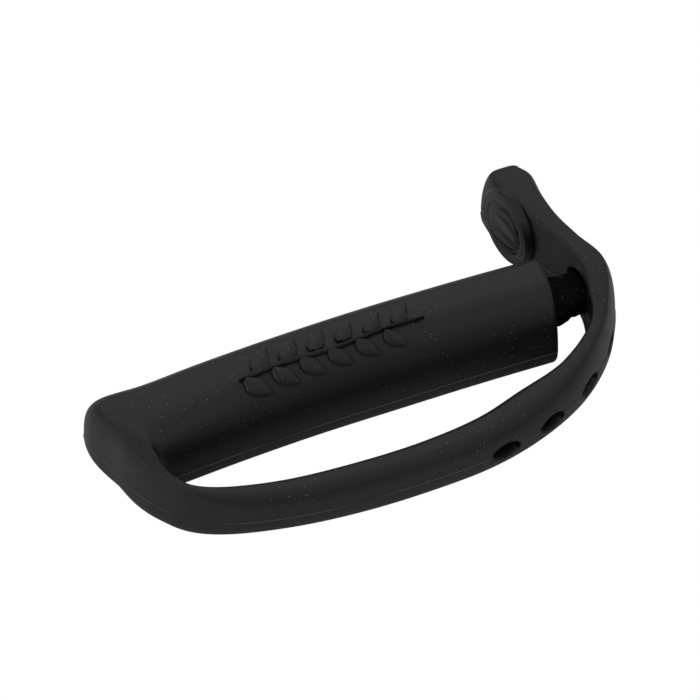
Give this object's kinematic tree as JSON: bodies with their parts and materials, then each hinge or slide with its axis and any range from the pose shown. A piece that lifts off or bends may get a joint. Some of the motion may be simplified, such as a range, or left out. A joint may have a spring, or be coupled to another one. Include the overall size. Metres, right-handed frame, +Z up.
{
  "type": "elastic strap guitar capo",
  "caption": "Elastic strap capo for a guitar neck: a cushioned bar presses the strings and a perforated strap hooks over the bar's nose.",
  "frame": {"origin": "centre of the bounding box, on the plane that the bar's underside lies on", "axes": "+X along the bar from the strap's root to the nose, +Y from the strap towards the back of the bar, +Z up across the bar"},
  "size_m": [0.0982, 0.0572, 0.0172],
  "materials": {
    "silicone": "matte black moulded silicone",
    "core_plastic": "rough black, slightly grainy"
  },
  "bodies": {
    "bar": {"bar_core": "core_plastic", "bar_sleeve": "silicone"},
    "link_1": {"strap_link_1": "silicone"},
    "link_2": {"strap_link_2": "silicone"},
    "link_3": {"strap_link_3": "silicone"},
    "link_4": {"strap_link_4": "silicone"},
    "link_5": {"strap_link_5": "silicone"},
    "link_6": {"strap_link_6": "silicone"},
    "link_7": {"strap_link_7": "silicone"},
    "link_8": {"strap_link_8": "silicone"},
    "hook_end": {"strap_end": "silicone"},
    "tab": {"pull_tab": "silicone"}
  },
  "joints": [
    {"name": "strap_open", "type": "hinge", "parent": "bar", "child": "link_1", "pos_m": [-0.03281, -0.02464, 0.0049], "axis": [0, 0, -1], "range_deg": [0, 8], "stiffness_Nm_per_rad": 0.06},
    {"name": "strap_bend_2", "type": "hinge", "parent": "link_1", "child": "link_2", "pos_m": [-0.02161, -0.02744, 0.0049], "axis": [0, 0, -1], "range_deg": [0, 6], "stiffness_Nm_per_rad": 0.06},
    {"name": "strap_bend_3", "type": "hinge", "parent": "link_2", "child": "link_3", "pos_m": [-0.00961, -0.02843, 0.0049], "axis": [0, 0, -1], "range_deg": [0, 6], "stiffness_Nm_per_rad": 0.06},
    {"name": "strap_bend_4", "type": "hinge", "parent": "link_3", "child": "link_4", "pos_m": [0.00239, -0.02854, 0.0049], "axis": [0, 0, -1], "range_deg": [0, 6], "stiffness_Nm_per_rad": 0.06},
    {"name": "strap_bend_5", "type": "hinge", "parent": "link_4", "child": "link_5", "pos_m": [0.01148, -0.0281, 0.0049], "axis": [0, 0, -1], "range_deg": [0, 10], "stiffness_Nm_per_rad": 0.06},
    {"name": "strap_bend_6", "type": "hinge", "parent": "link_5", "child": "link_6", "pos_m": [0.02178, -0.02607, 0.0049], "axis": [0, 0, -1], "range_deg": [0, 10], "stiffness_Nm_per_rad": 0.06},
    {"name": "strap_bend_7", "type": "hinge", "parent": "link_6", "child": "link_7", "pos_m": [0.03194, -0.02171, 0.0049], "axis": [0, 0, -1], "range_deg": [0, 10], "stiffness_Nm_per_rad": 0.06},
    {"name": "strap_bend_8", "type": "hinge", "parent": "link_7", "child": "link_8", "pos_m": [0.04072, -0.01464, 0.0049], "axis": [0, 0, -1], "range_deg": [0, 10], "stiffness_Nm_per_rad": 0.06},
    {"name": "hook_bend", "type": "hinge", "parent": "link_8", "child": "hook_end", "pos_m": [0.04618, -0.00726, 0.0049], "axis": [0, 0, -1], "range_deg": [0, 10], "stiffness_Nm_per_rad": 0.06},
    {"name": "tab_flick", "type": "hinge", "parent": "hook_end", "child": "tab", "pos_m": [0.04622, 0.01016, 0.0049], "axis": [0, 0, -1], "range_deg": [0, 30], "stiffness_Nm_per_rad": 0.06}
  ],
  "couplings": [
    {"joint": "strap_bend_2", "follows": "strap_open", "ratio": 0.75},
    {"joint": "strap_bend_3", "follows": "strap_open", "ratio": 0.75},
    {"joint": "strap_bend_4", "follows": "strap_open", "ratio": 0.75},
    {"joint": "strap_bend_5", "follows": "strap_open", "ratio": 1.25},
    {"joint": "strap_bend_6", "follows": "strap_open", "ratio": 1.25},
    {"joint": "strap_bend_7", "follows": "strap_open", "ratio": 1.25},
    {"joint": "strap_bend_8", "follows": "strap_open", "ratio": 1.25},
    {"joint": "hook_bend", "follows": "strap_open", "ratio": 1.25}
  ]
}
